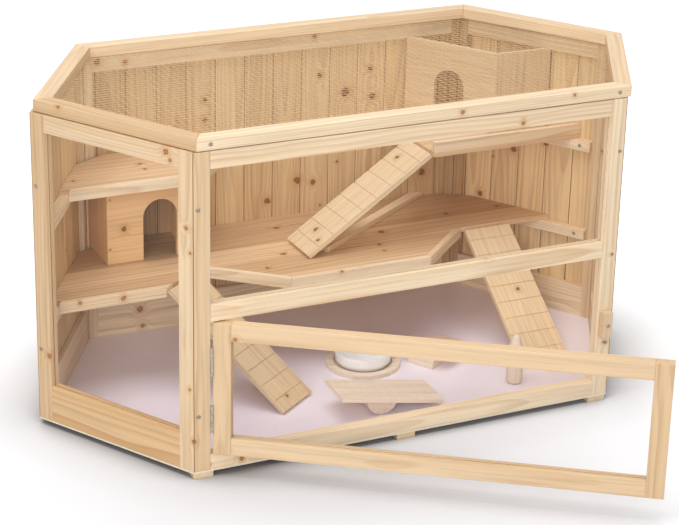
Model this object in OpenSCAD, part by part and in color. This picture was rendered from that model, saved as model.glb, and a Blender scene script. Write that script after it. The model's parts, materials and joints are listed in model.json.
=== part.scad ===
// Small-pet cage of pine: six-sided frame on three battens, boarded at the back,
// acrylic at the front, a mesh lid, a drop-in platform with three grooved ramps,
// two upper shelves, a corner house, a corner room and loose wooden toys.
// Units are mm. +X runs right along the front, -Y is the front, +Z is up.
// The origin is on the ground under the middle batten.

/* [Overall] */
// Longest width, from the left corner to the right corner
cage_len = 1150; // [1000:10:1300]
// Depth from the front face to the back face
cage_dep = 600; // [560:10:640]
// Height of the six upright frames
wall_h = 560; // [540:5:600]
// Height of the battens under the base
batten_h = 10; // [8:1:14]
// Thickness of the base panel
base_t = 3; // [3:0.5:6]
// Thickness of the washable floor film
film_t = 1.5; // [1:0.5:3]

/* [Frame stock] */
// Face width of the frame laths
lath_w = 30; // [26:1:34]
// Thickness of the frame laths
lath_t = 20; // [18:1:22]
// Height of the bottom rails of the boarded and side frames
kick_h = 66; // [50:1:80]
// Height of the bottom rail under the door
sill_h = 28; // [24:1:32]
// Underside of the middle rail at the front
mid_z = 281; // [270:1:290]
// Depth of the pane grooves
pane_groove = 6; // [4:0.5:7]
// Thickness of the acrylic panes
pane_t = 2; // [2:0.5:3]

/* [Boarding] */
// Face width of one tongue and groove board
board_pitch = 59.6; // [50:0.1:70]
// Thickness of the boards
board_t = 8; // [6:1:9]
// Set-back of the boards from the outer face
board_out = 2; // [1:0.5:3]
// Bevel at each board joint
board_bevel = 1.2; // [0.6:0.2:1.6]

/* [Platform and shelves] */
// Height of the platform top
plat_z = 207; // [195:1:215]
// Thickness of the platform and shelf panels
panel_t = 9; // [8:1:12]
// Height of the edging strips
edge_h = 20; // [16:1:22]
// Depth of the edging strips
edge_d = 12; // [8:1:14]
// Height of the upper left shelf top
left_shelf_z = 380; // [370:1:390]
// Height of the upper right shelf top
right_shelf_z = 387; // [380:1:395]
// Height of the cleats under the shelves
cleat_h = 20; // [16:1:22]
// Depth of the cleats under the shelves
cleat_d = 18; // [14:1:20]
// Top of the room walls on the upper right shelf
room_top = 547; // [520:1:555]
// Thickness of the house and room walls
wallet_t = 9; // [8:1:10]

/* [Ramps] */
// Length of each ramp
ramp_l = 300; // [295:1:305]
// Width of each ramp
ramp_w = 98; // [90:1:100]
// Thickness of each ramp
ramp_t = 9; // [8:1:10]
// Distance between the grooves
groove_pitch = 35.6; // [30:0.2:36]
// Depth of the grooves
groove_d = 1.6; // [1:0.2:2.4]
// Width of the grooves
groove_w = 2.2; // [1.6:0.2:3]

/* [Door and lid] */
// Opening angle of the door as drawn
door_open = 35; // [0:1:90]
// Gap around the closed door
door_gap = 2.4; // [2:0.1:3]
// Thickness of the lid frame
lid_t = 20; // [18:1:24]
// Sideways shift of the lid on the frames
lid_shift = 6; // [0:1:8]
// Distance between the mesh wires
mesh_pitch = 45; // [40:1:60]
// Width of one mesh wire
wire_d = 1; // [0.8:0.1:1.4]

/* [Hidden] */
$fn = 48;
fit = 0.3;      // gap between neighbouring pieces
run = 0.06;     // running clearance of pins and screws
joint = 0.12;   // half the glue line at a mitre, measured along the side
s60 = sin(60);
half_l = cage_len / 2;
half_d = cage_dep / 2;
front_x = half_l - half_d / tan(60);
long_l = 2 * front_x;
short_l = cage_dep / 2 / s60;
mitre = lath_t / tan(60);
wall_z = batten_h + base_t;
wall_top = wall_z + wall_h;
rebate_w = 8;
rebate_t = 10;
pane_y = 9;
floor_z = wall_z + film_t;
kick_top = wall_z + kick_h;
top_z = wall_top - lath_w;
corner_cut = 50;

// corners, counter-clockwise from the left one
corner = [[-half_l, 0], [-front_x, -half_d], [front_x, -half_d],
          [half_l, 0], [front_x, half_d], [-front_x, half_d]];
side_ang = [-60, 0, 60, 120, 180, 240];
side_len = [short_l, long_l, short_l, short_l, long_l, short_l];

wood = [0.87, 0.74, 0.54];
steel = [0.62, 0.63, 0.65];

// ---------- helpers ----------

// local frame of a side: X along it, Y inwards, Z up
module on_side(i)
    translate([corner[i].x, corner[i].y, 0])
        rotate([0, 0, side_ang[i]])
            children();

// inward unit normal of the edge from a to b, walked counter-clockwise
function nrm(a, b) = [-(b - a).y, (b - a).x] / norm(b - a);

// corner p1 after moving edge p0-p1 inwards by d1 and edge p1-p2 by d2
function moved(p0, p1, p2, d1, d2) =
    let(n1 = nrm(p0, p1), n2 = nrm(p1, p2), c = n1 * n2, k = 1 - c * c)
        p1 + (d1 * (n1 - c * n2) + d2 * (n2 - c * n1)) / k;

// x on the back-left and back-right wall lines, inset by d, at depth y
function left_x(y, d) = -half_l + y / tan(60) + d / s60;
function right_x(y, d) = -left_x(y, d);

module rod(r, l)
    cylinder(r = r, h = l);

// ---------- base ----------

batten_w = 35;
batten_x = [-front_x, -23, front_x - batten_w - 3];

module battens() color(wood)
    for (x = batten_x)
        translate([x, -half_d, 0])
            cube([batten_w, cage_dep, batten_h]);

module hexagon(d)
    polygon([for (i = [0:5])
        moved(corner[(i + 5) % 6], corner[i], corner[(i + 1) % 6], d, d)]);

module base_panel() color(wood)
    translate([0, 0, batten_h])
        linear_extrude(base_t)
            hexagon(0);

module floor_film() color([0.80, 0.72, 0.77])
    translate([0, 0, wall_z])
        linear_extrude(film_t)
            hexagon(lath_t + fit);

// ---------- corner posts ----------

// mitred stile; kind 1 is grooved for a pane, kind 2 is rebated for boards,
// each only over the height that the pane or the boards need
module stile_plan()
    polygon([[joint, 0], [lath_w, 0], [lath_w, lath_t], [mitre + joint, lath_t]]);

module stile(kind, pane_z0) {
    if (kind == 1) difference() {
        linear_extrude(wall_h)
            stile_plan();
        translate([lath_w - pane_groove, pane_y, pane_z0 - wall_z - pane_groove])
            cube([pane_groove + 1, pane_t + 2 * fit,
                  top_z - pane_z0 + 2 * pane_groove]);
    }
    if (kind == 2) difference() {
        linear_extrude(wall_h)
            stile_plan();
        translate([lath_w - rebate_w, -1, kick_h - rebate_w])
            cube([rebate_w + 1, rebate_t + 1, top_z - kick_top + 2 * rebate_w]);
    }
}

module stile_at_start(i, kind, pane_z0)
    on_side(i)
        translate([0, 0, wall_z])
            stile(kind, pane_z0);

module stile_at_end(i, kind, pane_z0)
    on_side(i)
        translate([side_len[i], 0, wall_z])
            mirror([1, 0, 0])
                stile(kind, pane_z0);

post_screw_z = [114, 477];
left_screw_z = [145, 445];
screw_off = 8.5;
screw_head_r = 3.6;
screw_head_t = 1.2;
screw_r = 1.6;
screw_l = 16;

// countersunk screw pointing inwards along +Y, head flush with y = 0
module screw_solid(g)
    rotate([-90, 0, 0]) {
        translate([0, 0, g == 0 ? 0.2 : -1])
            rod(screw_head_r + g, screw_head_t + (g == 0 ? -0.2 : 1 + fit));
        translate([0, 0, 0.5])
            rod(screw_r + g, screw_l + (g == 0 ? 0 : fit));
    }

module screws_at(i, u, zs, g)
    on_side(i)
        for (z = zs)
            translate([u, 0, z])
                screw_solid(g);

module post_left() color(wood) difference() {
    union() {
        stile_at_end(5, 2, 0);
        stile_at_start(0, 1, kick_top);
    }
    screws_at(0, screw_off, left_screw_z, fit);
}

button_in = 16.8;
button_x = front_x - button_in;
button_z = 154;
button_r = 2;

module button_bore(g)
    translate([button_x, -half_d, button_z])
        rotate([-90, 0, 0])
            translate([0, 0, -1])
                rod(button_r + g, 16);

module post_front_left() color(wood) difference() {
    union() {
        stile_at_end(0, 1, kick_top);
        stile_at_start(1, 1, mid_z + lath_w);
    }
    screws_at(1, screw_off, post_screw_z, fit);
}

module post_front_right() color(wood) difference() {
    union() {
        stile_at_end(1, 1, mid_z + lath_w);
        stile_at_start(2, 2, 0);
    }
    screws_at(1, long_l - screw_off, post_screw_z, fit);
    button_bore(run);
}

module post_right() color(wood) difference() {
    union() {
        stile_at_end(2, 2, 0);
        stile_at_start(3, 2, 0);
    }
    screws_at(2, short_l - screw_off, post_screw_z, fit);
}

module post_back_right() color(wood) difference() {
    union() {
        stile_at_end(3, 2, 0);
        stile_at_start(4, 2, 0);
    }
    screws_at(4, screw_off, post_screw_z, fit);
}

module post_back_left() color(wood) difference() {
    union() {
        stile_at_end(4, 2, 0);
        stile_at_start(5, 2, 0);
    }
    screws_at(4, long_l - screw_off, post_screw_z, fit);
}

module frame_screws() color(steel) {
    cleat_screw(low_top, 0);
    cleat_screw(right_top, 0);
    screws_at(0, screw_off, left_screw_z, 0);
    screws_at(1, screw_off, post_screw_z, 0);
    screws_at(1, long_l - screw_off, post_screw_z, 0);
    screws_at(2, short_l - screw_off, post_screw_z, 0);
    screws_at(4, screw_off, post_screw_z, 0);
    screws_at(4, long_l - screw_off, post_screw_z, 0);
}

// ---------- rails ----------

module rail(i, z, h) color(wood)
    on_side(i)
        translate([lath_w, 0, z])
            cube([side_len[i] - 2 * lath_w, lath_t, h]);

// groove for a pane in the edge of a rail; up = 1 in the top edge
module rail_groove(i, z, h, up)
    on_side(i)
        translate([lath_w - 1, pane_y, up == 1 ? z + h - pane_groove : z - 1])
            cube([side_len[i] - 2 * lath_w + 2, pane_t + 2 * fit, pane_groove + 1]);

module rail_rebate(i, z, h, up)
    on_side(i)
        translate([lath_w - 1, -1, up == 1 ? z + h - rebate_w : z - 1])
            cube([side_len[i] - 2 * lath_w + 2, rebate_t + 1, rebate_w + 1]);

module front_top_rail() color(wood) difference() {
    rail(1, top_z, lath_w);
    rail_groove(1, top_z, lath_w, 0);
}

module front_mid_rail() color(wood) difference() {
    rail(1, mid_z, lath_w);
    rail_groove(1, mid_z, lath_w, 1);
}

module front_bottom_rail() color(wood)
    rail(1, wall_z, sill_h);

module side_top_rail() color(wood) difference() {
    rail(0, top_z, lath_w);
    rail_groove(0, top_z, lath_w, 0);
}

module side_bottom_rail() color(wood) difference() {
    rail(0, wall_z, kick_h);
    rail_groove(0, wall_z, kick_h, 1);
}

boarded = [2, 3, 4, 5];

module wall_top_rails() color(wood)
    for (i = boarded) difference() {
        rail(i, top_z, lath_w);
        rail_rebate(i, top_z, lath_w, 0);
    }

module wall_bottom_rails() color(wood)
    for (i = boarded) difference() {
        rail(i, wall_z, kick_h);
        rail_rebate(i, wall_z, kick_h, 1);
    }

// ---------- boarding ----------

board_z0 = kick_top - rebate_w + fit;
board_z1 = top_z + rebate_w - fit;
tongue_l = 4;
tongue_t = 2.4;

// plan of one board from u0 to u1; groove at the start, tongue at the end
module board_plan(u0, u1, first, last) {
    w0 = board_out;
    w1 = board_out + board_t;
    m = (w0 + w1) / 2;
    b = board_bevel;
    ha = tongue_t / 2 + 0.2;
    hb = tongue_t / 2;
    e = u1 - (last ? 0 : 0.2);
    a1 = first ? [[u0, w0]] : [[u0, w0], [u0, m - ha], [u0 + tongue_l + 0.4, m - ha],
        [u0 + tongue_l + 0.4, m + ha], [u0, m + ha], [u0, w1 - b]];
    a2 = [[first ? u0 : u0 + b, w1], [last ? e : e - b, w1]];
    a3 = last ? [[e, w0]] : [[e, w1 - b], [e, m + hb], [e + tongue_l, m + hb],
        [e + tongue_l, m - hb], [e, m - hb], [e, w0]];
    polygon(concat(a3, [for (k = [len(a1) - 1:-1:0]) a1[len(a1) - 1 - k]], a2));
}

// boards of a side; seam is the place of one joint along the side
module boarding(i, seam) color(wood) {
    lo = lath_w - rebate_w + fit;
    hi = side_len[i] - lo;
    n0 = ceil((lo + 6 - seam) / board_pitch);
    n1 = floor((hi - 6 - seam) / board_pitch);
    on_side(i)
        translate([0, 0, board_z0])
            linear_extrude(board_z1 - board_z0)
                for (k = [n0 - 1:n1])
                    board_plan(k < n0 ? lo : seam + k * board_pitch,
                        k == n1 ? hi : seam + (k + 1) * board_pitch,
                        k < n0, k == n1);
}

module back_boards()
    boarding(4, front_x + 6);

module back_left_boards()
    boarding(5, 36);

module back_right_boards()
    boarding(3, 15.4);

module right_boards()
    boarding(2, 36);

// ---------- panes ----------

module pane(i, z0) color([0.85, 0.93, 0.97, 0.3])
    on_side(i)
        translate([lath_w - pane_groove + 0.5, pane_y + fit, z0 - pane_groove + 0.5])
            cube([side_len[i] - 2 * (lath_w - pane_groove + 0.5), pane_t,
                  top_z - z0 + 2 * (pane_groove - 0.5)]);

module front_pane()
    pane(1, mid_z + lath_w);

module side_pane()
    pane(0, kick_top);

// ---------- platform ----------

skin = board_out + board_t + fit;
cleat_in = board_out + board_t + cleat_d + fit;

// outline of the front edge, measured in from the front corners of the cage
plat_front = [[left_x(31, skin), 31], [77.8 - front_x, 31], [169.8 - front_x, 98],
              [300.8 - front_x, -17], [front_x - 217.8, -17], [front_x - 91.8, 97],
              [right_x(97, skin), 97]];
// which front edges carry a strip
plat_strip = [1, 0, 1, 1, 1, 0];

// point on a slanted wall's inner skin at a given distance from the back corner
function slant_pt(sgn, u, d) =
    [sgn * (front_x + u / 2 - d * s60), half_d - u * s60 - d / 2];

back_pts = [slant_pt(1, corner_cut, skin), [front_x - corner_cut, half_d - skin],
            [-front_x + corner_cut, half_d - skin], slant_pt(-1, corner_cut, skin)];

function strip_d(k) = plat_strip[k] * edge_d;

// corner k of the front line with the strips taken off
function board_pt(k) =
    k == 0 ? [left_x(plat_front[0].y + edge_d, skin), plat_front[0].y + edge_d] :
    k == 6 ? plat_front[6] :
    moved(plat_front[k - 1], plat_front[k], plat_front[k + 1],
        strip_d(k - 1), strip_d(k));

module platform() color(wood)
    translate([0, 0, plat_z - panel_t])
        linear_extrude(panel_t)
            polygon(concat([for (k = [0:6]) board_pt(k)], back_pts));

module edge_strip(k) {
    y0 = plat_front[0].y;
    d = plat_front[k + 1] - plat_front[k];
    g = joint * d / norm(d);
    a = k == 0 ? [left_x(y0, cleat_in), y0] : plat_front[k];
    a2 = k == 0 ? [left_x(y0 + edge_d, cleat_in), y0 + edge_d] : board_pt(k);
    linear_extrude(edge_h)
        polygon([a + g, plat_front[k + 1] - g, board_pt(k + 1) - g, a2 + g]);
}

// ---------- upper left shelf ----------

ls_y = 118;
ls_x = 177.8 - front_x;
ls_cut = 60;
ls_line = [[left_x(ls_y, skin), ls_y], [ls_x, ls_y], [ls_x + ls_cut, ls_y + ls_cut],
           [ls_x + ls_cut, half_d - skin]];
ls_b1 = moved(ls_line[0], ls_line[1], ls_line[2], edge_d, edge_d);
ls_b2 = moved(ls_line[1], ls_line[2], ls_line[3], edge_d, 0);
ls_g = 2 * joint * [sin(45), sin(45)];

module left_shelf() color(wood)
    translate([0, 0, left_shelf_z - panel_t])
        linear_extrude(panel_t)
            polygon([[left_x(ls_y + edge_d, skin), ls_y + edge_d], ls_b1, ls_b2,
                ls_line[3], back_pts[2], back_pts[3]]);

module left_shelf_strips()
    translate([0, 0, left_shelf_z - edge_h])
        linear_extrude(edge_h) {
            polygon([[left_x(ls_y, cleat_in), ls_y], ls_line[1], ls_b1,
                [left_x(ls_y + edge_d, cleat_in), ls_y + edge_d]]);
            polygon([ls_line[1] + ls_g, ls_line[2], ls_b2, ls_b1 + ls_g]);
        }

// ---------- upper right shelf ----------

rs_x = front_x - 183.8;
rs_y = 47;

module right_shelf() color(wood)
    translate([0, 0, right_shelf_z - panel_t])
        linear_extrude(panel_t)
            polygon([[rs_x, rs_y], [right_x(rs_y, skin), rs_y], back_pts[0],
                back_pts[1], [rs_x, half_d - skin]]);

module right_shelf_strip()
    translate([0, 0, right_shelf_z])
        linear_extrude(edge_h)
            polygon([[rs_x, rs_y], [right_x(rs_y, skin), rs_y],
                [right_x(rs_y + edge_d, skin), rs_y + edge_d], [rs_x, rs_y + edge_d]]);

module edge_strips() color(wood) {
    translate([0, 0, plat_z - edge_h])
        for (k = [0, 2, 3, 4])
            edge_strip(k);
    left_shelf_strips();
    right_shelf_strip();
}

// ---------- cleats ----------

module cleat(i, u0, u1, top)
    on_side(i)
        translate([u0, board_out + board_t, top - cleat_h])
            cube([u1 - u0, cleat_d, cleat_h]);

cleat_u0 = lath_w + fit;
cleat_u1 = short_l - lath_w - fit;
low_top = plat_z - panel_t;
left_top = left_shelf_z - panel_t;
right_top = right_shelf_z - panel_t;
cleat_screw_u = 52;

module cleat_screw(top, g)
    on_side(3)
        translate([cleat_screw_u, board_out + board_t + cleat_d, top - cleat_h / 2])
            mirror([0, 1, 0])
                screw_solid(g);

module cleats() color(wood) difference() {
    union() {
        cleat(3, cleat_u0, cleat_u1, low_top);
        cleat(4, cleat_u0, long_l - cleat_u0, low_top);
        cleat(5, cleat_u0, cleat_u1, low_top);
        cleat(5, cleat_u0, cleat_u1, left_top);
        cleat(3, cleat_u0, cleat_u1, right_top);
        cleat(4, cleat_u0, front_x - rs_x, right_top);
    }
    cleat_screw(low_top, fit);
    cleat_screw(right_top, fit);
}

// ---------- corner house ----------

house_x0 = 15.8 - front_x;
house_x1 = house_x0 + 174;
house_y = 171;
house_h = left_top - plat_z;
door_cx = house_x0 + 103;
door_r = 33;
door_spring = 82;

module house_front() color(wood)
    translate([0, house_y + wallet_t, plat_z])
        rotate([90, 0, 0])
            linear_extrude(wallet_t)
                difference() {
                    translate([house_x0, 0])
                        square([house_x1 - house_x0, house_h]);
                    translate([door_cx - door_r, -1])
                        square([2 * door_r, door_spring + 1]);
                    translate([door_cx, door_spring])
                        circle(r = door_r);
                }

module house_sides() color(wood)
    for (x = [house_x0, house_x1 - wallet_t])
        translate([x, house_y + wallet_t, plat_z])
            cube([wallet_t, half_d - lath_t - fit - house_y - wallet_t, house_h]);

// ---------- corner room ----------

room_y = 103;
room_h = room_top - right_shelf_z;
room_a = [rs_x + 54.6, half_d - lath_t - fit];
room_b = [room_a.x + (room_a.y - room_y) / tan(60), room_y];
room_c = [right_x(room_y, lath_t + fit), room_y];
room_in = moved(room_a, room_b, room_c, wallet_t, wallet_t);
arch_at = 100;
arch_r = 33;
arch_spring = 76;

module room_arch_wall() color(wood)
    difference() {
        translate([0, 0, right_shelf_z])
            linear_extrude(room_h)
                polygon([room_a, room_b, room_in,
                    [room_a.x + wallet_t / s60, room_a.y]]);
        translate([room_a.x, room_a.y, right_shelf_z])
            rotate([0, 0, -60])
                translate([arch_at, -1, 0])
                    rotate([-90, 0, 0])
                        linear_extrude(wallet_t + 2) {
                            translate([-arch_r, -arch_spring])
                                square([2 * arch_r, arch_spring + 1]);
                            translate([0, -arch_spring])
                                circle(r = arch_r);
                        }
    }

module room_end_wall() color(wood)
    translate([0, 0, right_shelf_z])
        linear_extrude(room_h)
            polygon([room_b, room_c,
                [right_x(room_y + wallet_t, lath_t + fit), room_y + wallet_t], room_in]);

// ---------- ramps ----------

grooves = 8;
groove_0 = (ramp_l - (grooves - 1) * groove_pitch) / 2;

module ramp_board() color(wood) difference() {
    translate([0, 0, -ramp_t])
        cube([ramp_l, ramp_w, ramp_t]);
    for (k = [0:grooves - 1])
        translate([groove_0 + k * groove_pitch - groove_w / 2, -1, -groove_d])
            cube([groove_w, ramp_w + 2, groove_d + 1]);
}

// slope that brings a ramp from height h down to its foot
function slope(h) = asin(h / norm([ramp_l, ramp_t])) - atan(ramp_t / ramp_l);

// p: start of the upper edge; dir: way down; hi and lo: the two levels
module ramp(p, dir, hi, lo, drop, out) {
    a = slope(hi - drop - lo - fit);
    translate([p.x, p.y, 0])
        rotate([0, 0, dir])
            translate([out, 0, hi - drop])
                rotate([0, a, 0])
                    ramp_board();
}

ramp_dir = atan2(plat_front[2].y - plat_front[1].y, plat_front[2].x - plat_front[1].x) - 90;

// how far a ramp's top lies below its level, out from its edge and in from a notch's corner
ramp_drop = 4;
ramp_out = 5.7;
ramp_gap = 6;
// front edge of the upper ramp
upper_ramp_y = 57;

module ramp_left()
    ramp(plat_front[1] + ramp_gap / 2 * [cos(ramp_dir + 90), sin(ramp_dir + 90)], ramp_dir,
        plat_z, floor_z, ramp_drop, ramp_out);

module ramp_right()
    ramp([plat_front[5].x + ramp_gap, plat_front[6].y], -90, plat_z, floor_z, ramp_drop, ramp_out);

module ramp_upper()
    ramp([rs_x, upper_ramp_y + ramp_w], 180, right_shelf_z, plat_z, ramp_drop, ramp_drop);

// ---------- lath on the platform ----------

lath_a = [10, 84];
lath_dir = 34.5;
flat_w = 20;
flat_t = 10;

lath_end = half_d - skin;

// where a line through p in the lath's direction meets the back boards
function far(p) = [p.x + (lath_end - p.y) / tan(lath_dir), lath_end];

module platform_lath() color(wood) {
    n = flat_w / 2 * [-sin(lath_dir), cos(lath_dir)];
    translate([0, 0, plat_z])
        linear_extrude(flat_t)
            polygon([lath_a - n, far(lath_a - n), far(lath_a + n), lath_a + n]);
}

// ---------- loose toys ----------

toy_t = 8;        // thickness of the toy boards
toy_groove_w = 1.8;
toy_groove_d = 1.2;

// board along +X from the origin, centred on y = 0, with evenly spaced cross grooves
module toy_board(l, w, count, pitch)
    difference() {
        translate([0, -w / 2, 0])
            cube([l, w, toy_t]);
        for (k = [0:count - 1])
            translate([(l - (count - 1) * pitch - toy_groove_w) / 2 + k * pitch, -w / 2 - 1,
                    toy_t - toy_groove_d])
                cube([toy_groove_w, w + 2, toy_groove_d + 1]);
    }

// ---------- rocking board ----------

// centre of the rocker's arc, straight over where it meets the floor
saw_c = [-14, -195];
saw_dir = -3;
saw_tilt = 9.2;
saw_l = 197;
saw_w = 84;
saw_grooves = 8;
saw_pitch = 23;
saw_off = 16;     // middle of the board, measured along it from the rocker
rocker_r = 29;
rocker_h = 27;
rocker_w = 64;
saw_under = rocker_r - rocker_h;

module at_saw()
    translate([saw_c.x, saw_c.y, floor_z + fit + rocker_r])
        rotate([0, 0, saw_dir])
            rotate([0, saw_tilt, 0])
                children();

// round side down, flat side under the board
module seesaw_rocker() color(wood)
    at_saw()
        translate([0, rocker_w / 2, 0])
            rotate([90, 0, 0])
                linear_extrude(rocker_w)
                    intersection() {
                        circle(r = rocker_r);
                        translate([-rocker_r, -rocker_r])
                            square([2 * rocker_r, rocker_h]);
                    }

module seesaw_plank() color(wood)
    at_saw()
        translate([saw_off - saw_l / 2, 0, -saw_under])
            toy_board(saw_l, saw_w, saw_grooves, saw_pitch);

// ---------- leaning board on a half log ----------

// middle of the board's foot on the floor, and the way it climbs
tilt_c = [257, -12.5];
tilt_dir = -151;
tilt_a = 15;
tilt_l = 130;
tilt_w = 86;
tilt_grooves = 6;
tilt_pitch = 21;
log_at = 104;     // from the board's foot to the middle of the log
log_l = 56;
log_y = -6;       // middle of the log, across the board
log_r = log_at * sin(tilt_a);

module at_tilt()
    translate([tilt_c.x, tilt_c.y, floor_z])
        rotate([0, 0, tilt_dir])
            children();

module tilt_plank() color(wood)
    at_tilt()
        translate([0, 0, fit])
            rotate([0, -tilt_a, 0])
                toy_board(tilt_l, tilt_w, tilt_grooves, tilt_pitch);

// flat side down; its top line carries the board
module tilt_log() color(wood)
    at_tilt()
        translate([log_at, log_y + log_l / 2, 0])
            rotate([90, 0, 0])
                linear_extrude(log_l)
                    intersection() {
                        circle(r = log_r);
                        translate([-log_r, 0])
                            square([2 * log_r, log_r]);
                    }

// ---------- peg ----------

peg_c = [268, -198];
peg_r = 15;
peg_h = 96;
peg_step = 1;     // ring cut into the peg, and the chamfer of its foot and head
peg_ring_z = 14;
peg_neck_z = 60;

module peg() color(wood)
    translate([peg_c.x, peg_c.y, floor_z])
        rotate_extrude()
            polygon([[0, 0], [peg_r - 3 * peg_step, 0], [peg_r, 4 * peg_step],
                [peg_r, peg_ring_z], [peg_r - peg_step, peg_ring_z + peg_step],
                [peg_r, peg_ring_z + 2 * peg_step], [peg_r, peg_neck_z],
                [peg_r - peg_step, peg_neck_z + peg_step], [peg_r, peg_neck_z + 2 * peg_step],
                [peg_r / 2, peg_h - 4 * peg_step], [peg_r / 4, peg_h - peg_step], [0, peg_h]]);

// ---------- bowl ----------

bowl_c = [45, -22];
bowl_r = 54;      // outside of the rim
bowl_h = 28;
bowl_wall = 3.5;
bowl_foot = 38;
bowl_seat = 3;    // wood left under the bowl
pocket_r = 55;
holder_r = 70;
holder_t = 8;

module bowl_board() color(wood)
    translate([bowl_c.x, bowl_c.y, floor_z])
        difference() {
            rod(holder_r, holder_t);
            translate([0, 0, bowl_seat])
                rod(pocket_r, holder_t);
        }

module bowl() color([0.93, 0.93, 0.93])
    translate([bowl_c.x, bowl_c.y, floor_z + bowl_seat])
        rotate_extrude()
            polygon([[0, 0], [bowl_foot, 0], [bowl_r - 6, bowl_wall], [bowl_r - 2, 3 * bowl_wall],
                [bowl_r, bowl_h - 2], [bowl_r, bowl_h], [bowl_r - bowl_wall, bowl_h],
                [bowl_r - 2 - bowl_wall, 3.5 * bowl_wall], [bowl_r - 7 - bowl_wall, 1.6 * bowl_wall],
                [bowl_foot - 2, 1.2 * bowl_wall], [0, 1.2 * bowl_wall]]);

// ---------- lid ----------

lid_z = wall_top + 1.6;

module at_lid()
    translate([lid_shift, 0, lid_z])
        children();

// mitred lid rail along side i
module lid_piece(i)
    at_lid()
        translate([corner[i].x, corner[i].y, 0])
            rotate([0, 0, side_ang[i]])
                linear_extrude(lid_t)
                    polygon([[joint, 0], [side_len[i] - joint, 0],
                        [side_len[i] - joint - lath_w / tan(60), lath_w],
                        [joint + lath_w / tan(60), lath_w]]);

lid_screw_in = [24.8, 22.8];
lid_screw_x = [lid_screw_in[0] - front_x, front_x - lid_screw_in[1]];

module lid_screw(x, g)
    translate([x, -half_d, lid_z + lid_t / 2])
        screw_solid(g);

module lid_front_rail() color(wood) difference() {
    lid_piece(1);
    for (x = lid_screw_x)
        translate([lid_shift, 0, 0])
            lid_screw(x, fit);
}

module lid_screws() color(steel)
    for (x = lid_screw_x)
        translate([lid_shift, 0, 0])
            lid_screw(x, 0);

module lid_back_rail() color(wood)
    lid_piece(4);

module lid_side_rails() color(wood)
    for (i = [0, 2, 3, 5])
        lid_piece(i);

mesh_in = 11;

mesh_nx = floor(half_l / mesh_pitch);
mesh_ny = floor(half_d / mesh_pitch);

module lid_mesh() color(steel)
    translate([lid_shift, 0, wall_top + fit])
        linear_extrude(wire_d)
            intersection() {
                hexagon(mesh_in);
                union() {
                    for (x = [-mesh_nx:mesh_nx])
                        translate([x * mesh_pitch - wire_d / 2, -half_d])
                            square([wire_d, cage_dep]);
                    for (y = [-mesh_ny:mesh_ny])
                        translate([-half_l, y * mesh_pitch - wire_d / 2])
                            square([cage_len, wire_d]);
                }
            }

// ---------- butt hinges ----------

knuckle_r = 2.5;
hinge_pin_r = 1.2;
leaf_t = 0.9;
hinge_l = 50;
knuckle_gap = 0.3;
knuckle_1 = 15;
knuckle_2 = 35;

// knuckles of one leaf around the Z axis; outer = 1 for the two end knuckles
module knuckles(outer)
    if (outer == 1) {
        rod(knuckle_r, knuckle_1 - knuckle_gap);
        translate([0, 0, knuckle_2 + knuckle_gap])
            rod(knuckle_r, hinge_l - knuckle_2 - knuckle_gap);
    } else {
        translate([0, 0, knuckle_1])
            rod(knuckle_r, knuckle_2 - knuckle_1);
    }

// plate from x = a to x = b, y = c to y = c + leaf_t, joined to its own knuckles
module leaf(outer, a, b, c) difference() {
    union() {
        knuckles(outer);
        translate([a, c, 0])
            cube([b - a, leaf_t, hinge_l]);
        if (outer == 1) {
            translate([0, c, 0])
                cube([a + 1, leaf_t, knuckle_1 - knuckle_gap]);
            translate([0, c, knuckle_2 + knuckle_gap])
                cube([a + 1, leaf_t, hinge_l - knuckle_2 - knuckle_gap]);
        } else {
            translate([0, c, knuckle_1])
                cube([a + 1, leaf_t, knuckle_2 - knuckle_1]);
        }
    }
    translate([0, 0, -1])
        rod(hinge_pin_r + run, hinge_l + 2);
}

leaf_a = knuckle_r + 0.4;
door_leaf_w = 20;
lid_leaf_w = 15;
frame_leaf_w = 18;

module hinge_pin()
    translate([0, 0, -0.5])
        rod(hinge_pin_r, hinge_l + 1);

lid_hinge_x = [-270, 270];
lid_hinge_z = wall_top + 0.8;

// pin along X, plates flat against the back face
module at_lid_hinge(x)
    translate([x - hinge_l / 2, half_d + knuckle_r, lid_hinge_z])
        rotate([0, 90, 0])
            children();

module lid_hinges() color(steel)
    for (x = lid_hinge_x)
        at_lid_hinge(x) {
            leaf(1, leaf_a, frame_leaf_w, -knuckle_r);
            hinge_pin();
        }

module lid_hinge_leaves() color(steel)
    for (x = lid_hinge_x)
        at_lid_hinge(x)
            mirror([1, 0, 0])
                leaf(0, leaf_a, lid_leaf_w, -knuckle_r);

// ---------- door ----------

door_x0 = -front_x + lath_w + door_gap;
door_x1 = front_x - lath_w - door_gap;
door_z0 = wall_z + sill_h + 1.2;
door_z1 = mid_z - door_gap;
door_pin = [-front_x + lath_w + door_gap / 2, -half_d - knuckle_r];

module at_door()
    translate([door_pin.x, door_pin.y, 0])
        rotate([0, 0, -door_open])
            translate([-door_pin.x, -door_pin.y, 0])
                children();

// each plate lies folded in the gap between the post and the door
door_hinge_z = [82, 185];
plate_off = door_gap / 2 - leaf_t;

module door_hinges() color(steel)
    for (z = door_hinge_z)
        translate([door_pin.x, door_pin.y, z]) {
            rotate([0, 0, 90])
                leaf(1, leaf_a, door_leaf_w, plate_off);
            hinge_pin();
        }

module door_hinge_leaves() color(steel)
    at_door()
        for (z = door_hinge_z)
            translate([door_pin.x, door_pin.y, z])
                rotate([0, 0, 90])
                    mirror([0, 1, 0])
                        leaf(0, leaf_a, door_leaf_w, plate_off);

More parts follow.
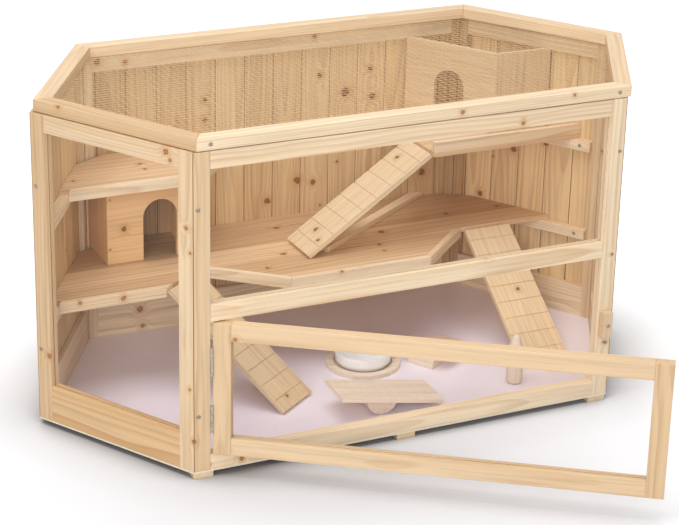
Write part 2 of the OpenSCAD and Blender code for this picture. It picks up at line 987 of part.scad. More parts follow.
module door_stiles() color(wood)
    at_door()
        difference() {
            for (x = [door_x0, door_x1 - lath_w])
                translate([x, -half_d, door_z0])
                    cube([lath_w, lath_t, door_z1 - door_z0]);
            translate([door_x0 + lath_w - pane_groove, -half_d + pane_y,
                       door_z0 + lath_w - pane_groove])
                cube([door_x1 - door_x0 - 2 * (lath_w - pane_groove),
                      pane_t + 2 * fit, door_z1 - door_z0 - 2 * (lath_w - pane_groove)]);
        }

module door_rails() color(wood)
    at_door()
        difference() {
            for (z = [door_z0, door_z1 - lath_w])
                translate([door_x0 + lath_w, -half_d, z])
                    cube([door_x1 - door_x0 - 2 * lath_w, lath_t, lath_w]);
            translate([door_x0, -half_d + pane_y, door_z0 + lath_w - pane_groove])
                cube([door_x1 - door_x0, pane_t + 2 * fit,
                      door_z1 - door_z0 - 2 * (lath_w - pane_groove)]);
        }

module door_pane() color([0.85, 0.93, 0.97, 0.3])
    at_door()
        translate([door_x0 + lath_w - pane_groove + 0.5, -half_d + pane_y + fit,
                   door_z0 + lath_w - pane_groove + 0.5])
            cube([door_x1 - door_x0 - 2 * (lath_w - pane_groove + 0.5), pane_t,
                  door_z1 - door_z0 - 2 * (lath_w - pane_groove + 0.5)]);

// ---------- turn button ----------

button_w = 19;
button_l = 50;
button_t = 15;

module turn_button() color(wood)
    translate([button_x, -half_d - fit, button_z])
        rotate([90, 0, 0])
            difference() {
                translate([-button_w / 2, -button_l / 2, 0])
                    cube([button_w, button_l, button_t]);
                translate([0, 0, -1])
                    rod(button_r + run, button_t + 2);
            }

module button_screw() color(steel)
    translate([button_x, -half_d - 2 * fit - button_t, button_z])
        rotate([-90, 0, 0]) {
            rod(button_r, button_t + 2 * fit + 14);
            translate([0, 0, -1.6])
                rod(4, 1.6);
        }

// ---------- drawing ----------

battens();
base_panel();
floor_film();
post_left();
post_front_left();
post_front_right();
post_right();
post_back_right();
post_back_left();
front_top_rail();
front_mid_rail();
front_bottom_rail();
side_top_rail();
side_bottom_rail();
wall_top_rails();
wall_bottom_rails();
back_boards();
back_left_boards();
back_right_boards();
right_boards();
front_pane();
side_pane();
frame_screws();
platform();
edge_strips();
left_shelf();
right_shelf();
cleats();
house_front();
house_sides();
room_arch_wall();
room_end_wall();
ramp_left();
ramp_right();
ramp_upper();
platform_lath();
seesaw_rocker();
seesaw_plank();
tilt_plank();
tilt_log();
peg();
bowl_board();
bowl();
lid_front_rail();
lid_back_rail();
lid_side_rails();
lid_mesh();
lid_screws();
lid_hinges();
lid_hinge_leaves();
door_stiles();
door_rails();
door_pane();
door_hinges();
door_hinge_leaves();
turn_button();
button_screw();
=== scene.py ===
# %% [markdown]
# # A six-sided wooden hamster cage
# The frame holds every solid piece of the cage at its real size. This lesson dresses those pieces.
# The pine laths and boards get their grain, knots and softened edges. The clear panes, the tinted
# floor sheet, the hinges and the bowl get their materials. The thin things that a solid can only
# hint at, the wire mesh and the crosses of the screw heads, are made here as surfaces.

# %% Load the frame
import json
import math

import bmesh
import bpy
import numpy as np
from mathutils import Matrix, Vector


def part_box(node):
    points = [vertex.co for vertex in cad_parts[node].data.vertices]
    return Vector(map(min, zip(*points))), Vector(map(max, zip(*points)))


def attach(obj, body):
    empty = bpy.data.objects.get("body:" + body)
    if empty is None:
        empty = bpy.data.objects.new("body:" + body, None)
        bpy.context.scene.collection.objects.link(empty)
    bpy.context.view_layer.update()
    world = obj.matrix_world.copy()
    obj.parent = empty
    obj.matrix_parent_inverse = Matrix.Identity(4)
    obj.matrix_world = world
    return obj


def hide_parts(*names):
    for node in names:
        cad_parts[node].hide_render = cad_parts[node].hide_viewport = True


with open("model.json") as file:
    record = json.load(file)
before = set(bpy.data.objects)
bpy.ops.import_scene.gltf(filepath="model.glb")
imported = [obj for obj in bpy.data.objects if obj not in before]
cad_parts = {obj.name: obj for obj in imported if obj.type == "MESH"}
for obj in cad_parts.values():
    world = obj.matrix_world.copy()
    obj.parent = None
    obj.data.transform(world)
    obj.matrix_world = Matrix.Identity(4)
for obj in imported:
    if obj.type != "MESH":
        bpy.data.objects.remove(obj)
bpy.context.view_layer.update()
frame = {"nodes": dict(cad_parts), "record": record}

MM = 0.001

# %% [markdown]
# ## The camera
# A long lens from the front left, a metre above the lid. The long lens keeps the upright posts
# nearly parallel, as a product view does, and the small shift places the cage in the frame without
# turning the camera.

# %% The camera
CAMERA_AT = (-1.4663, -3.0358, 1.5674)
CAMERA_TURN, CAMERA_TILT, CAMERA_ROLL = -24.26, 69.67, 0.77
LENS, SHIFT_RIGHT, SHIFT_UP = 104.9, 0.0729, -0.0773
camera = bpy.data.objects.new("camera", bpy.data.cameras.new("camera"))
bpy.context.scene.collection.objects.link(camera)
camera.data.lens, camera.data.shift_x, camera.data.shift_y = LENS, SHIFT_RIGHT, SHIFT_UP
camera.data.clip_end = 40.0
camera.matrix_world = (Matrix.Translation(CAMERA_AT)
                       @ Matrix.Rotation(math.radians(CAMERA_TURN), 4, "Z")
                       @ Matrix.Rotation(math.radians(CAMERA_TILT), 4, "X")
                       @ Matrix.Rotation(math.radians(CAMERA_ROLL), 4, "Z"))
bpy.context.scene.camera = camera
print("camera at", CAMERA_AT)

# %% [markdown]
# ## Small helpers
# Colours are written as sRGB hex codes, because that is how a colour chart gives them, and one
# function turns them to the linear values that a shader needs. One more function adds a shader node
# with its settings and its links.


# %% Colours and shader nodes
def colour(code):
    """Linear colour of an sRGB code: c / 12.92 up to 0.04045, and ((c + 0.055) / 1.055) ** 2.4 above."""
    channel = np.array([int(code[i:i + 2], 16) for i in (1, 3, 5)]) / 255
    linear = np.where(channel <= 0.04045, channel / 12.92, ((channel + 0.055) / 1.055) ** 2.4)
    return (*linear.tolist(), 1.0)


def add(tree, kind, inputs=None, stops=(), **settings):
    """Adds a node: settings are its own choices, and inputs maps a socket to a value or an output. Stops,
    for a node that has a ramp, are pairs of a place and a colour or grey."""
    made = tree.nodes.new(kind)
    for name, value in settings.items():
        setattr(made, name, value)
    for key, value in (inputs or {}).items():
        if isinstance(value, bpy.types.NodeSocket):
            tree.links.new(value, made.inputs[key])
        else:
            made.inputs[key].default_value = value
    if stops:
        elements = made.color_ramp.elements
        while len(elements) < len(stops):
            elements.new(0.5)
        for element, (place, shade) in zip(elements, stops):
            element.position = place
            element.color = colour(shade) if isinstance(shade, str) else (shade, shade, shade, 1.0)
    return made


def finish(name, **sockets):
    """A new material, its node tree and its Principled shader, with the sockets that are alike all over."""
    material = bpy.data.materials.new(name)
    material.use_nodes = True
    shader = material.node_tree.nodes["Principled BSDF"]
    for key, value in sockets.items():
        shader.inputs[key.replace("_", " ")].default_value = value
    return material, material.node_tree, shader


def dress(nodes, material):
    """Gives CAD nodes one material in place of their plain one."""
    for node in nodes:
        slots = frame["nodes"][node].data.materials
        slots.clear()
        slots.append(material)


# %% [markdown]
# ## Softwood
# Pine and fir show pale early wood and darker late wood, one band of each a year. A board is a
# slice through that stack of cones, so its face shows straight lines at the edges and long arches
# in the middle. The finish below works the same way: it measures how far each point lies from the
# heart of the log and draws a dark line once a ring. Each piece carries its own place in its log as
# an attribute, so no two boards repeat, and the lines run on round the edges and end in rings on
# the sawn ends. A knot bends the rings round itself. Fast-grown stock has rings of 3 to 5 mm. They
# are drawn that wide on laths, boards and toys, and coarser, 5 to 9 mm, on the door, the panels and
# the wide rail, which the view shows smaller or more softly. The fibres are far finer than the view
# can show, so they are drawn as streaks 6 mm apart and 200 mm long.


# %% The softwood finish
# Noise cells in a metre, along the fibres and across them each way
WANDER = (2.4, 11.0, 11.0)      # slow bends of the rings
FIBRES = (5.0, 160.0, 160.0)    # streaks
PATCHES = (1.6, 26.0, 26.0)     # warmer patches
BEND = 16 * MM                  # how far a slow bend moves a ring
KNOT_PULL = 1.9                 # rings by which a knot bends the lines round itself
BROWN_KNOT, KNOT_HALO, KNOT_RIM = ("#8a5a2e", "#4f2f18"), "#c48a50", "#a8713c"
# the second colour goes on faces marked cut: painted shade in saw grooves, and the dark colour of joints
GLUE_LINE, GROOVE_SHADE_AND_JOINT = "#8a6238", "#9a6c3e"


def softwood(name, pale, dark, warm, ring=4.2 * MM, contrast=0.6, variety=0.5, strip=0.0, seam=0.0,
             knots=(), pin_knots=0.84, knot=BROWN_KNOT):
    """Rings are where the distance from the heart, divided by the ring width, passes a whole number."""
    material, tree, shader = finish(name, Specular_IOR_Level=0.35)
    grain = add(tree, "ShaderNodeAttribute", attribute_name="grain").outputs["Vector"]
    tone = add(tree, "ShaderNodeAttribute", attribute_name="tone").outputs["Fac"]
    if strip:
        grain, tone, edge = glued_strips(tree, grain, strip, seam)
    wander = add(tree, "ShaderNodeVectorMath", {0: grain, 1: WANDER}, operation="MULTIPLY")
    wander = add(tree, "ShaderNodeTexNoise", {"Vector": wander.outputs[0], "Scale": 1.0, "Detail": 2.0})
    bent = add(tree, "ShaderNodeVectorMath", {0: wander.outputs["Color"], 1: (0, BEND, BEND), 2: grain},
               operation="MULTIPLY_ADD")
    across = add(tree, "ShaderNodeVectorMath", {0: bent.outputs[0], 1: (0, 1, 1)}, operation="MULTIPLY")
    radius = add(tree, "ShaderNodeVectorMath", {0: across.outputs[0]}, operation="LENGTH")
    near = knot_distance(tree, grain, knots, pin_knots)
    # d radii from a knot, the rings are pulled to it by KNOT_PULL * exp(-0.28 d^2)
    pull = add(tree, "ShaderNodeMath", {0: near, 1: near}, operation="MULTIPLY")
    pull = add(tree, "ShaderNodeMath", {0: pull.outputs[0], 1: -0.28}, operation="MULTIPLY")
    pull = add(tree, "ShaderNodeMath", {0: pull.outputs[0]}, operation="EXPONENT").outputs[0]
    years = add(tree, "ShaderNodeMath", {0: radius.outputs["Value"], 1: 1 / ring}, operation="MULTIPLY")
    years = add(tree, "ShaderNodeMath", {0: pull, 1: KNOT_PULL, 2: years.outputs[0]},
                operation="MULTIPLY_ADD").outputs[0]
    # late wood is a line at the end of each ring, 0.25 to 1 strong by the year
    band = add(tree, "ShaderNodeMath", {0: years}, operation="FRACT").outputs[0]
    line = add(tree, "ShaderNodeValToRGB", {0: band},
               [(0.0, 0.0), (0.35, 0.05), (0.8, 0.85), (0.93, 1.0), (1.0, 0.0)]).outputs[0]
    year = add(tree, "ShaderNodeMath", {0: years}, operation="FLOOR").outputs[0]
    season = add(tree, "ShaderNodeTexWhiteNoise", {"W": year}, noise_dimensions="1D").outputs["Value"]
    season = add(tree, "ShaderNodeMath", {0: season, 1: 0.75, 2: 0.25}, operation="MULTIPLY_ADD").outputs[0]
    late = add(tree, "ShaderNodeMath", {0: line, 1: season}, operation="MULTIPLY").outputs[0]
    late = add(tree, "ShaderNodeMath", {0: late, 1: contrast}, operation="MULTIPLY").outputs[0]
    fibre = add(tree, "ShaderNodeVectorMath", {0: grain, 1: FIBRES}, operation="MULTIPLY").outputs[0]
    fibre = add(tree, "ShaderNodeTexNoise", {"Vector": fibre, "Scale": 1.0, "Detail": 3.0}).outputs[0]
    patch = add(tree, "ShaderNodeVectorMath", {0: grain, 1: PATCHES}, operation="MULTIPLY").outputs[0]
    patch = add(tree, "ShaderNodeTexNoise", {"Vector": patch, "Scale": 1.0, "Detail": 2.0}).outputs[0]
    # the board's tone and its patches say how warm the early wood is, and a warm board is darker too
    warmth = add(tree, "ShaderNodeMath", {0: tone, 1: variety}, operation="MULTIPLY").outputs[0]
    warmth = add(tree, "ShaderNodeMath", {0: patch, 1: 0.55, 2: warmth}, operation="MULTIPLY_ADD")
    warmth = add(tree, "ShaderNodeMath", {0: warmth.outputs[0], 1: 0.24}, operation="SUBTRACT",
                 use_clamp=True).outputs[0]
    base = add(tree, "ShaderNodeMix", {0: warmth, 6: colour(pale), 7: colour(warm)},
               data_type="RGBA").outputs[2]
    base = add(tree, "ShaderNodeMix", {0: late, 6: base, 7: colour(dark)}, data_type="RGBA").outputs[2]
    shade = add(tree, "ShaderNodeMath", {0: tone, 1: -0.3 * variety, 2: 1.0}, operation="MULTIPLY_ADD")
    base = add(tree, "ShaderNodeVectorMath", {0: base, 3: shade.outputs[0]}, operation="SCALE").outputs[0]
    # over that lie the streaks, the halo of a knot, the knot, the glue seams, and the brown of grooves and
    # joints, which is painted shade in the saw grooves and the dark joint elsewhere
    streak = add(tree, "ShaderNodeValToRGB", {0: fibre}, [(0.3, 0.83), (0.5, 0.95), (0.72, 1.0)]).outputs[0]
    base = add(tree, "ShaderNodeMix", {0: 1.0, 6: base, 7: streak}, data_type="RGBA",
               blend_type="MULTIPLY").outputs[2]
    halo = add(tree, "ShaderNodeMath", {0: pull, 1: 0.55}, operation="MULTIPLY").outputs[0]
    base = add(tree, "ShaderNodeMix", {0: halo, 6: base, 7: colour(KNOT_HALO)}, data_type="RGBA").outputs[2]
    core = add(tree, "ShaderNodeValToRGB", {0: near},
               [(0.0, knot[0]), (0.5, knot[0]), (0.8, knot[1]), (1.0, KNOT_RIM)]).outputs[0]
    inside = add(tree, "ShaderNodeValToRGB", {0: near}, [(0.0, 0.9), (0.78, 0.85), (1.0, 0.0)]).outputs[0]
    base = add(tree, "ShaderNodeMix", {0: inside, 6: base, 7: core}, data_type="RGBA").outputs[2]
    if strip:
        base = add(tree, "ShaderNodeMix", {0: edge, 6: base, 7: colour(GLUE_LINE)},
                   data_type="RGBA").outputs[2]
    # painted shade in the saw grooves, and the dark colour of joints
    cut = add(tree, "ShaderNodeAttribute", attribute_name="cut").outputs["Fac"]
    base = add(tree, "ShaderNodeMix", {0: cut, 6: base, 7: colour(GROOVE_SHADE_AND_JOINT)}, data_type="RGBA").outputs[2]
    tree.links.new(base, shader.inputs["Base Color"])
    rough = add(tree, "ShaderNodeMath", {0: fibre, 1: 0.22, 2: 0.42}, operation="MULTIPLY_ADD").outputs[0]
    tree.links.new(rough, shader.inputs["Roughness"])
    height = add(tree, "ShaderNodeMath", {0: late, 1: 0.6, 2: fibre}, operation="MULTIPLY_ADD").outputs[0]
    bump = add(tree, "ShaderNodeBump", {"Strength": 0.25, "Distance": 0.4 * MM, "Height": height})
    tree.links.new(bump.outputs[0], shader.inputs["Normal"])
    return material


# %% Knots and glued strips
CELLS = (9.0, 9.0, 0.0)     # cells in a metre that may hold a pin knot, none of them through the face
FAR_AWAY = 50.0             # knot radii


def knot_distance(tree, grain, knots, pin_knots):
    """Distance to the nearest knot in knot radii: the least of |p - knot| / radius over the placed knots
    and of the scattered pin knots, which are the middles of those 110 mm cells whose own number is high
    enough. Noise makes the rim ragged."""
    place = add(tree, "ShaderNodeTexCoord").outputs["Object"]
    flat = add(tree, "ShaderNodeVectorMath", {0: grain, 1: CELLS}, operation="MULTIPLY")
    cell = add(tree, "ShaderNodeTexVoronoi", {"Vector": flat.outputs[0], "Scale": 1.0},
               voronoi_dimensions="2D")
    lucky = add(tree, "ShaderNodeSeparateColor", {0: cell.outputs["Color"]})
    absent = add(tree, "ShaderNodeMath", {0: lucky.outputs[0], 1: pin_knots}, operation="LESS_THAN")
    small = add(tree, "ShaderNodeMath", {0: lucky.outputs[1], 1: 28.0, 2: 24.0}, operation="MULTIPLY_ADD")
    near = add(tree, "ShaderNodeMath", {0: cell.outputs["Distance"], 1: small.outputs[0]},
               operation="MULTIPLY").outputs[0]
    near = add(tree, "ShaderNodeMath", {0: absent.outputs[0], 1: FAR_AWAY, 2: near},
               operation="MULTIPLY_ADD").outputs[0]
    for x, y, z, size in knots:
        away = add(tree, "ShaderNodeVectorMath", {0: place, 1: (x * MM, y * MM, z * MM)},
                   operation="DISTANCE").outputs["Value"]
        away = add(tree, "ShaderNodeMath", {0: away, 1: 1 / (size * MM)}, operation="MULTIPLY")
        near = add(tree, "ShaderNodeMath", {0: near, 1: away.outputs[0]}, operation="MINIMUM").outputs[0]
    rag = add(tree, "ShaderNodeTexNoise", {"Vector": place, "Scale": 230.0, "Detail": 3.0}).outputs[0]
    rag = add(tree, "ShaderNodeMath", {0: rag, 1: 1.3, 2: -0.62}, operation="MULTIPLY_ADD").outputs[0]
    return add(tree, "ShaderNodeMath", {0: near, 1: rag}, operation="ADD").outputs[0]


def glued_strips(tree, grain, strip, seam):
    """Cuts the grain into strips glued edge to edge: strip k = floor((across - seam) / strip) gets its own
    place in its own log. Returns the new grain, the new tone and the dark line at each glue seam."""
    across = add(tree, "ShaderNodeSeparateXYZ", {0: grain}).outputs[1]
    place = add(tree, "ShaderNodeMath", {0: across, 1: 1 / strip, 2: -seam / strip},
                operation="MULTIPLY_ADD")
    count = add(tree, "ShaderNodeMath", {0: place.outputs[0]}, operation="FLOOR").outputs[0]
    luck = add(tree, "ShaderNodeTexWhiteNoise", {"W": count}, noise_dimensions="1D")
    shift = add(tree, "ShaderNodeVectorMath", {0: luck.outputs["Color"], 1: (9.0, 0.08, 0.05), 2: grain},
                operation="MULTIPLY_ADD").outputs[0]
    back = add(tree, "ShaderNodeMath", {0: count, 1: -strip}, operation="MULTIPLY").outputs[0]
    back = add(tree, "ShaderNodeCombineXYZ", {1: back}).outputs[0]
    moved = add(tree, "ShaderNodeVectorMath", {0: shift, 1: back}, operation="ADD").outputs[0]
    part = add(tree, "ShaderNodeMath", {0: place.outputs[0]}, operation="FRACT").outputs[0]
    half = 0.5 * MM / strip
    line = add(tree, "ShaderNodeValToRGB", {0: part},
               [(0.0, 0.75), (half * 1.6, 0.0), (1 - half * 1.6, 0.0), (1.0, 0.75)]).outputs[0]
    return moved, luck.outputs["Value"], line


# %% [markdown]
# ## Dressing a timber piece
# The frame's solids have the true outline, mitres, rebates and grooves, but their edges are knife
# sharp and their meshes are loose triangles. Real laths come off the planer and get a pass of
# sandpaper. So each timber piece is a merged copy of its solid with its arrises rounded by 0.4 to
# 1.1 mm, and it carries two attributes: grain, its place in its log, and tone, how warm and dark
# this board is beside the next, which on some pieces also holds painted light. A third one, cut,
# marks the faces that are coloured brown: in a saw groove this is painted shade, and in a joint it
# is the dark joint.


# %% Timber pieces
MERGE = 0.002 * MM          # corners closer than this are one corner
FLAT = math.radians(0.6)    # faces that turn less than this are one face
SHARP = math.radians(25)    # edges that turn more than this get an arris
HEART_DEPTH, HEART_SIDE, LOG_PLACE = (15, 60), (-30, 30), (0, 40)    # the first two in mm, the last in m
random = np.random.default_rng(31)
made_pieces = {}


def connected(mesh):
    """Number of the solid that each face of a bmesh belongs to, found by walking over shared edges."""
    mesh.faces.ensure_lookup_table()
    group = np.full(len(mesh.faces), -1)
    count = 0
    for start in mesh.faces:
        if group[start.index] >= 0:
            continue
        waiting = [start]
        group[start.index] = count
        while waiting:
            face = waiting.pop()
            for edge in face.edges:
                for other in edge.link_faces:
                    if group[other.index] < 0:
                        group[other.index] = count
                        waiting.append(other)
        count += 1
    return group, count


def solids_of(node):
    """A merged copy of a node's mesh, the number of each face's solid, and how many solids there are."""
    source = bmesh.new()
    source.from_mesh(frame["nodes"][node].data)
    bmesh.ops.remove_doubles(source, verts=source.verts, dist=MERGE)
    bmesh.ops.dissolve_limit(source, angle_limit=FLAT, verts=source.verts, edges=source.edges)
    group, count = connected(source)
    return source, group, count


def one_solid(source, group, number):
    """A copy of the merged mesh with the faces of one solid only."""
    solid = source.copy()
    solid.faces.ensure_lookup_table()
    others = [solid.faces[i] for i in np.flatnonzero(group != number)]
    bmesh.ops.delete(solid, geom=others, context="FACES")
    return solid


def left_to_right(mesh, group, count):
    """Rank of each solid when they are sorted by their middles, rounded to cm: by x, then y, then z."""
    middles = []
    for number in range(count):
        corners = np.array([v.co for i in np.flatnonzero(group == number) for v in mesh.faces[i].verts])
        middles.append(tuple(np.round((corners.min(0) + corners.max(0)) * 50).tolist()))
    order = sorted(range(count), key=lambda number: middles[number])
    return [order.index(number) for number in range(count)]


def soften(mesh, width):
    """Rounds the sharp edges of one solid, leaving the rims of small holes as they are."""
    sharp = [e for e in mesh.edges if e.is_manifold and e.calc_face_angle() > SHARP
             and e.calc_length() > 2.5 * width]
    bmesh.ops.bevel(mesh, geom=sharp, offset=width, segments=2, profile=0.5, affect="EDGES",
                    clamp_overlap=True)


def groove_shade_faces(mesh, axes):
    """1 on each face that lies in a saw groove, 0.3 to 4 mm below the widest face and inside the outline:
    the faces that get painted shade.
    """
    height = [np.array(v.co) @ axes[2] for v in mesh.verts]
    length = [np.array(v.co) @ axes[0] for v in mesh.verts]
    top, start, end = max(height), min(length), max(length)
    low, high = 0.3 * MM, 4 * MM
    flags = []
    for face in mesh.faces:
        centre = np.array(face.calc_center_median())
        below = top - centre @ axes[2]
        inside = start + 2 * MM < centre @ axes[0] < end - 2 * MM
        across = abs(np.array(face.normal) @ axes[1]) < 0.5
        flags.append(float(low < below < high and inside and across))
    return flags


def joints(mesh, axes):
    """1 on the long sides of a board and on their rounded arrises, where it meets the next board."""
    return [float(abs(np.array(face.normal) @ axes[1]) > 0.6) for face in mesh.faces]


def mitres(mesh, axes):
    """1 on a stile's mitre and on the arrises beside it, where it meets the other stile of its post. The
    mitre is the largest face that slants across the stile."""
    lean = [np.array(face.normal) @ axes[1] for face in mesh.faces]
    slanted = [(face.calc_area(), across) for face, across in zip(mesh.faces, lean)
               if 0.7 < abs(across) < 0.95]
    side = np.sign(max(slanted)[1])
    return [float(side * across > 0.15) for across in lean]


def uncut(mesh, axes):
    """0 on every face."""
    return [0.0] * len(mesh.faces)


def log_frame(mesh, along):
    """Axes of a solid's timber: along its fibres, across its widest face, and out of that face."""
    face = max(mesh.faces, key=lambda f: f.calc_area())
    out = np.array(face.normal)
    if along is None:
        edge = max(mesh.edges, key=lambda e: e.calc_length())
        along = np.array(edge.verts[1].co - edge.verts[0].co)
    along = np.array(along, float)
    along = along / np.linalg.norm(along)
    out = out - along * (out @ along)
    out = out / np.linalg.norm(out)
    return np.stack([along, np.cross(out, along), out])


def timber(node, finish_of, along=None, width=0.8 * MM, in_place=False, dark_at=uncut, lean=0.012):
    """Stands for a CAD node: each solid gets rounded arrises and its own place in a log, whose heart lies
    HEART_DEPTH below its middle and leans a little along it, so that rings run out of the face as arches.
    in_place keeps the place across the face, for glued strips. dark_at says which faces lie in a saw
    groove, where the brown is painted shade, or in a joint. The k-th solid from the left has tone
    TONES_AND_PAINTED_LIGHT[node][k], or one by chance."""
    source, group, count = solids_of(node)
    rank = left_to_right(source, group, count)
    points, faces, grains, tones, cuts = [], [], [], [], []
    start = 0
    for number in range(count):
        solid = one_solid(source, group, number)
        axes = log_frame(solid, along)
        soften(solid, width)
        solid.verts.index_update()
        here = np.array([v.co for v in solid.verts])
        local = here @ axes.T
        middle = (local.min(0) + local.max(0)) / 2
        slope = random.uniform(-lean, lean)
        log = local - middle
        log[:, 2] += random.uniform(*HEART_DEPTH) * MM + slope * log[:, 0]
        log[:, 1] += random.uniform(*HEART_SIDE) * MM
        log[:, 0] += random.uniform(*LOG_PLACE)
        if in_place:
            log[:, 1] = local[:, 1]
        points.append(here)
        grains.append(log)
        chance = random.random()
        picked = TONES_AND_PAINTED_LIGHT[node][rank[number] % len(TONES_AND_PAINTED_LIGHT[node])] if node in TONES_AND_PAINTED_LIGHT else chance
        tones.append(np.full(len(here), picked))
        faces += [[start + v.index for v in f.verts] for f in solid.faces]
        cuts += dark_at(solid, axes)
        start += len(here)
        solid.free()
    source.free()
    piece = surface(node + "_timber", np.concatenate(points), faces, finish_of, smooth=True)
    grain = piece.data.attributes.new("grain", "FLOAT_VECTOR", "POINT")
    grain.data.foreach_set("vector", np.concatenate(grains).astype(np.float32).ravel())
    tone = piece.data.attributes.new("tone", "FLOAT", "POINT")
    tone.data.foreach_set("value", np.concatenate(tones).astype(np.float32))
    cut = piece.data.attributes.new("cut", "FLOAT", "FACE")
    cut.data.foreach_set("value", np.array(cuts, np.float32))
    piece.modifiers.new("even_faces", "WEIGHTED_NORMAL").keep_sharp = True
    stand_for(piece, node)
    return piece


# %% Surfaces from arrays
def surface(name, points, faces, material, smooth=False):
    """A mesh object at the origin from corner positions and faces."""
    data = bpy.data.meshes.new(name)
    data.from_pydata(np.asarray(points, float).tolist(), [], [list(f) for f in faces])
    data.polygons.foreach_set("use_smooth", [smooth] * len(data.polygons))
    data.materials.append(material)
    data.update()
    piece = bpy.data.objects.new(name, data)
    bpy.context.scene.collection.objects.link(piece)
    return piece


BODY_OF = {node: body for body, nodes in frame["record"]["behaviour"]["bodies"].items() for node in nodes}


def stand_for(piece, node):
    """The piece rides on the node's body and hides the node."""
    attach(piece, BODY_OF[node])
    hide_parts(node)
    made_pieces[piece.name] = len(piece.data.polygons)


# %% [markdown]
# ## Which wood goes where
# The outer frame is planed pale lath with few knots. Its wide rail under the side pane is slab
# sawn, so it shows broad orange waves. The wall boards are cheaper, warmer and more mixed. The
# platform and shelves are thin panels glued from strips about 75 mm wide. The house and the room
# are single panels. The loose toys are sanded, a little pinker and nearly free of knots. Each
# placed knot is given as x, y, z and radius in mm. Tones run from 0, pale, to 1, warm and dark, and
# a board below 0 is paler than its stock. Beside the boards' own differences, the tones hold
# painted light and shade: pieces that face the strong lamps on the left are set darker, and inner
# walls that get little light are set paler.

# %% Wood finishes
PALE, DARK, WARM = "#f9e3c2", "#cc9a62", "#e7b980"
RED_KNOT = ("#b4763f", "#74421f")
STRIP = 75 * MM
lath_wood = softwood("planed_pine_lath", PALE, DARK, WARM, contrast=0.45, variety=0.9, pin_knots=0.972,
                     knot=RED_KNOT, knots=[
    (-316, -300, 23, 5), (560, -60, 470, 4), (-402, -300, 70, 5), (-541, -49, 593, 4),
    (-429, -253, 565, 6), (-409, -288, 445, 4), (-405, -295, 404, 3), (-406, -293, 163, 3),
    (-562, -23, 137, 5), (-486, 31, 203, 4), (-405, 31, 199, 5), (-286, 280, 60, 7),
    (-281, 280, 25, 5), (-362, 280, 562, 6), (-308, 280, 556, 5), (75, 280, 567, 5), (0, -17, 207, 4),
    (393, -300, 285, 3), (389, -300, 116, 3), (78, -300, 585, 4), (294, -300, 590, 3)])
door_wood = softwood("planed_pine_door_lath", PALE, DARK, WARM, ring=5.5 * MM, contrast=0.5, variety=0.9,
                     pin_knots=0.985, knot=RED_KNOT, knots=[(-338, -322, 253, 4)])
slab_wood = softwood("slab_sawn_pine_rail", "#f5d8ac", "#cb9258", "#e4b47b", ring=8.5 * MM, contrast=0.6,
                     variety=0.7, pin_knots=0.985)
board_wood = softwood("pine_wall_board", "#f3d4a3", "#bb8752", "#ddb17f", ring=4.4 * MM, contrast=0.5,
                      variety=0.9, pin_knots=0.93, knots=[
    (47, 290, 276, 8), (81, 290, 268, 6), (-17, 290, 242, 7), (133, 290, 303, 3), (323, 290, 257, 8),
    (-147, 290, 462, 5), (-147, 290, 423, 5), (92, 290, 485, 6), (147, 290, 445, 9), (200, 290, 486, 6),
    (206, 290, 430, 7), (464, 172, 325, 7), (428, 235, 216, 6), (500, 112, 350, 5)])
panel_wood = softwood("glued_pine_panel", "#f0cfa6", "#bd8850", "#dbac7b", ring=7.5 * MM, contrast=0.55,
                      variety=0.7, strip=STRIP, seam=11 * MM, pin_knots=0.93, knots=[
    (-23, 231, 207, 7), (-65, 101, 207, 6), (156, 135, 207, 7), (123, 77, 207, 5), (118, 45, 207, 4),
    (320, 177, 207, 6), (435, 178, 207, 5), (-120, 48, 207, 5), (-306, 212, 380, 5), (-307, 182, 380, 4),
    (-449, 168, 380, 4)])
small_panel = softwood("pine_panel", "#f3c994", "#c6925c", "#e0ab76", ring=5.5 * MM, contrast=0.28,
                       variety=0.5, pin_knots=0.95, knots=[(-354, 171, 273, 6), (-380, 171, 333, 1.8),
                                                           (-381, 171, 236, 1.8)])
room_panel = softwood("pine_room_panel", "#e9cba4", "#be9466", "#d7ad83", ring=5.5 * MM, contrast=0.28,
                      variety=0.5, pin_knots=0.95)
toy_wood = softwood("sanded_ramp_wood", "#f2d9b4", "#c99a66", "#e5c092", ring=3.6 * MM, contrast=0.26,
                    variety=0.5, pin_knots=0.96, knots=[
    (179, 124, 360, 5), (6, 112, 242, 5), (-5, 77, 235, 4), (372, -24, 115, 4), (-158, -131, 34, 4),
    (-90, -226, 62, 3)])
loose_wood = softwood("sanded_toy_wood", "#fbe9d6", "#d9b38d", "#f0d7bd", ring=3.2 * MM, contrast=0.35,
                      variety=0.4, pin_knots=0.985)
plywood = softwood("birch_plywood", "#f6ebd6", "#dcc7a2", "#efe1c6", ring=9 * MM, contrast=0.3, variety=0.2,
                   pin_knots=0.985)
WOODS = (lath_wood, door_wood, slab_wood, board_wood, panel_wood, small_panel, room_panel, toy_wood,
         loose_wood, plywood)
